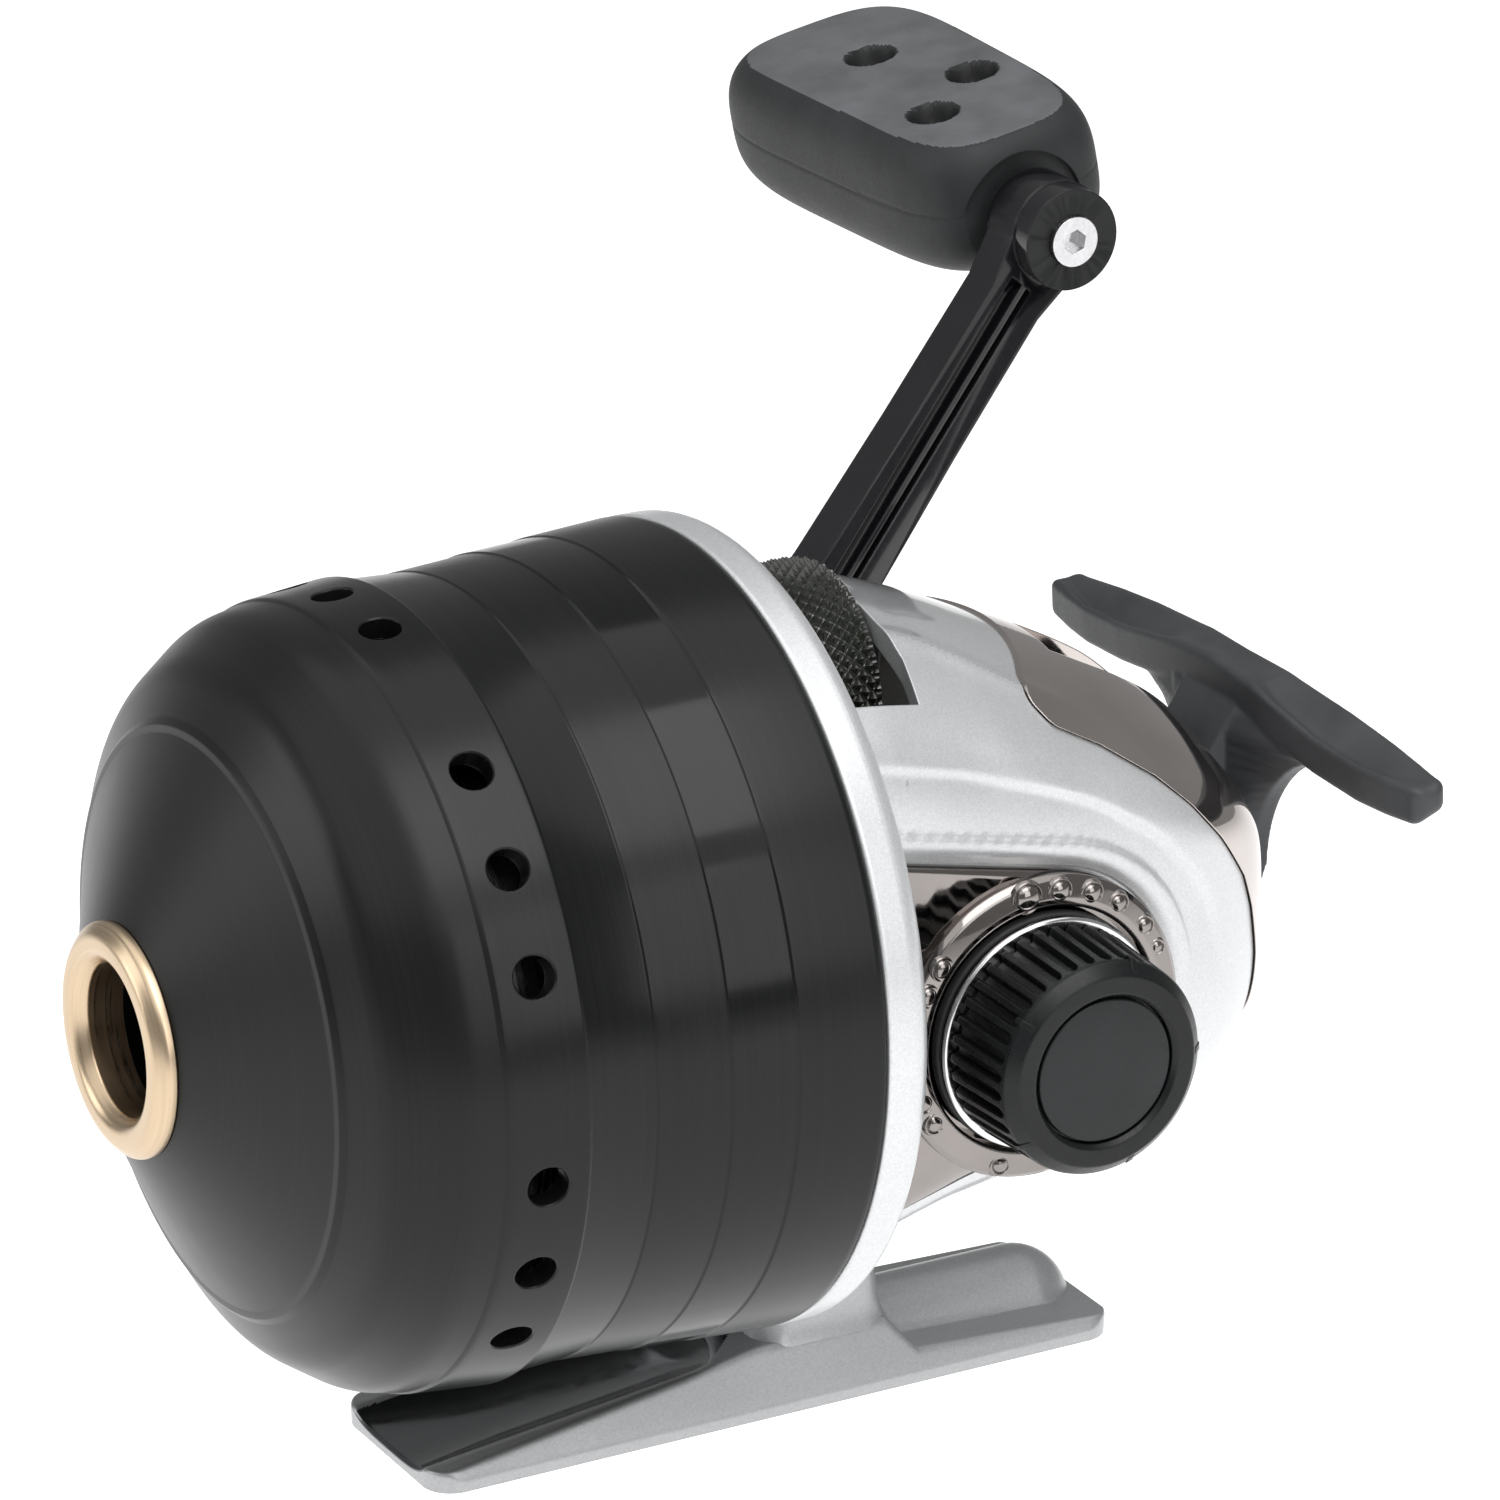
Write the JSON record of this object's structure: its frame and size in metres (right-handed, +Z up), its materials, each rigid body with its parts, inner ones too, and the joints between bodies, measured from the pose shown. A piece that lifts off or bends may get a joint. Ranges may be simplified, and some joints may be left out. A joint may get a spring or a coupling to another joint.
{
  "type": "spincast fishing reel",
  "caption": "Closed-face reel: domed black cover over a spool, silver gear housing with thumb lever, thumbwheel, side dial and cranked handle, on a rod foot",
  "frame": {"origin": "middle of the foot's flat underside, directly below the spool axis", "axes": "+Z up from the rod, -Y toward the nose where line leaves, +X toward the side dial, so the handle is on -X"},
  "size_m": [0.1156, 0.1194, 0.09],
  "materials": {
    "body_deck": "fine metallic silver paint",
    "cover_seal": "black nitrile",
    "spool_arbor": "turned",
    "spool_retainer": "plain spring steel",
    "drag_washers": "fibre washer under a plain steel one",
    "pinion_bearing": "ground",
    "pinion_bracket": "plain die-cast metal",
    "bracket_screws": "zinc plated",
    "gear_housing": "fine metallic silver paint",
    "housing_screws": "zinc plated",
    "rear_trim": "smoked chrome plating",
    "side_plate_left": "smoked chrome plating",
    "side_plate_right": "smoked chrome plating",
    "left_bushing": "sintered bronze",
    "right_bushing": "sintered bronze",
    "anti_reverse_clutch": "ground",
    "dial_seat": "plain",
    "dial_post": "turned",
    "lever_pivot_pin": "turned",
    "reel_foot": "fine metallic silver paint, channel polished",
    "foot_screws": "zinc plated",
    "shaft_return_spring": "spring wire",
    "front_cover": "black anodised turned aluminium, satin with glossier bands",
    "line_guide_ring": "satin machined brass",
    "pinch_ring": "firm dark rubber",
    "spool": "turned and anodised clear",
    "line_winding": "clear nylon line wound in close turns",
    "drag_ring_gear": "moulded acetal",
    "drag_thumbwheel": "coarse diamond knurl",
    "thumbwheel_shaft": "turned",
    "pinion": "machined",
    "rotor": "turned and polished",
    "rotor_nut": "plain machined",
    "centre_shaft": "ground",
    "pin_spring_left": "spring wire",
    "pin_spring_right": "spring wire",
    "pickup_pin_left": "polished",
    "pickup_pin_right": "polished",
    "crank_shaft": "turned",
    "drive_gear": "machined",
    "crank_collar": "moulded, plain",
    "handle_arm": "gloss black enamel",
    "handle_nut": "plated acorn nut",
    "paddle_spindle": "turned, with a hex socket head",
    "spindle_retainer": "plain washer",
    "paddle": "soft matt rubber over a plastic core",
    "paddle_plug": "moulded",
    "side_dial": "moulded, fine ribs",
    "dial_cap": "satin black inlay",
    "dial_washer": "polished",
    "thumb_lever": "soft-touch dark grey"
  },
  "bodies": {
    "frame": {"body_deck": "body_deck", "cover_seal": "cover_seal", "spool_arbor": "spool_arbor", "spool_retainer": "spool_retainer", "drag_washers": "drag_washers", "pinion_bearing": "pinion_bearing", "pinion_bracket": "pinion_bracket", "bracket_screws": "bracket_screws", "gear_housing": "gear_housing", "housing_screws": "housing_screws", "rear_trim": "rear_trim", "side_plate_left": "side_plate_left", "side_plate_right": "side_plate_right", "left_bushing": "left_bushing", "right_bushing": "right_bushing", "anti_reverse_clutch": "anti_reverse_clutch", "dial_seat": "dial_seat", "dial_post": "dial_post", "lever_pivot_pin": "lever_pivot_pin", "reel_foot": "reel_foot", "foot_screws": "foot_screws", "shaft_return_spring": "shaft_return_spring"},
    "cover": {"front_cover": "front_cover", "line_guide_ring": "line_guide_ring", "pinch_ring": "pinch_ring"},
    "spool": {"spool": "spool", "line_winding": "line_winding"},
    "drag_ring": {"drag_ring_gear": "drag_ring_gear"},
    "thumbwheel": {"drag_thumbwheel": "drag_thumbwheel", "thumbwheel_shaft": "thumbwheel_shaft"},
    "pinion": {"pinion": "pinion"},
    "rotor": {"rotor": "rotor", "rotor_nut": "rotor_nut", "centre_shaft": "centre_shaft", "pin_spring_left": "pin_spring_left", "pin_spring_right": "pin_spring_right"},
    "pin_left": {"pickup_pin_left": "pickup_pin_left"},
    "pin_right": {"pickup_pin_right": "pickup_pin_right"},
    "crank": {"crank_shaft": "crank_shaft", "drive_gear": "drive_gear", "crank_collar": "crank_collar", "handle_arm": "handle_arm", "handle_nut": "handle_nut", "paddle_spindle": "paddle_spindle", "spindle_retainer": "spindle_retainer"},
    "paddle": {"paddle": "paddle", "paddle_plug": "paddle_plug"},
    "dial": {"side_dial": "side_dial", "dial_cap": "dial_cap", "dial_washer": "dial_washer"},
    "thumb_lever": {"thumb_lever": "thumb_lever"}
  },
  "joints": [
    {"name": "cover_off", "type": "slide", "parent": "frame", "child": "cover", "axis": [0, -1, 0], "range_m": [0, 0.045]},
    {"name": "spool_spin", "type": "hinge", "parent": "frame", "child": "spool", "pos_m": [0, -0.0145, 0.041], "axis": [0, 1, 0], "continuous": true},
    {"name": "thumbwheel_turn", "type": "hinge", "parent": "frame", "child": "thumbwheel", "pos_m": [0, 0.0045, 0.0598], "axis": [0, 1, 0], "range_deg": [-150, 150]},
    {"name": "drag_ring_turn", "type": "hinge", "parent": "frame", "child": "drag_ring", "pos_m": [0, -0.0063, 0.041], "axis": [0, 1, 0], "range_deg": [-52, 52]},
    {"name": "crank_spin", "type": "hinge", "parent": "frame", "child": "crank", "pos_m": [0, 0.0157, 0.036], "axis": [1, 0, 0], "continuous": true},
    {"name": "pinion_spin", "type": "hinge", "parent": "frame", "child": "pinion", "pos_m": [0, 0.0025, 0.041], "axis": [0, 1, 0], "continuous": true},
    {"name": "paddle_spin", "type": "hinge", "parent": "crank", "child": "paddle", "pos_m": [-0.06, 0.05234, 0.07966], "axis": [1, 0, 0], "continuous": true},
    {"name": "dial_turn", "type": "hinge", "parent": "frame", "child": "dial", "pos_m": [0.028, 0.0157, 0.036], "axis": [1, 0, 0], "range_deg": [-135, 135]},
    {"name": "thumb_lever_press", "type": "hinge", "parent": "frame", "child": "thumb_lever", "pos_m": [0, 0.041, 0.029], "axis": [1, 0, 0], "range_deg": [0, 9]},
    {"name": "shaft_push", "type": "slide", "parent": "pinion", "child": "rotor", "axis": [0, -1, 0], "range_m": [0, 0.00209], "stiffness_N_per_m": 1500, "springref_m": -0.003, "deforming": ["shaft_return_spring"]},
    {"name": "pin_left_retract", "type": "slide", "parent": "rotor", "child": "pin_left", "axis": [1, 0, 0], "range_m": [0, 0.0032], "deforming": ["pin_spring_left"]},
    {"name": "pin_right_retract", "type": "slide", "parent": "rotor", "child": "pin_right", "axis": [-1, 0, 0], "range_m": [0, 0.0032], "deforming": ["pin_spring_right"]}
  ],
  "couplings": [
    {"joint": "pinion_spin", "follows": "crank_spin", "ratio": -3.6},
    {"joint": "drag_ring_turn", "follows": "thumbwheel_turn", "ratio": -0.34286},
    {"joint": "thumb_lever_press", "follows": "shaft_push", "rad_per_m": 75},
    {"joint": "pin_left_retract", "follows": "shaft_push", "ratio": 1.43},
    {"joint": "pin_right_retract", "follows": "shaft_push", "ratio": 1.43}
  ]
}
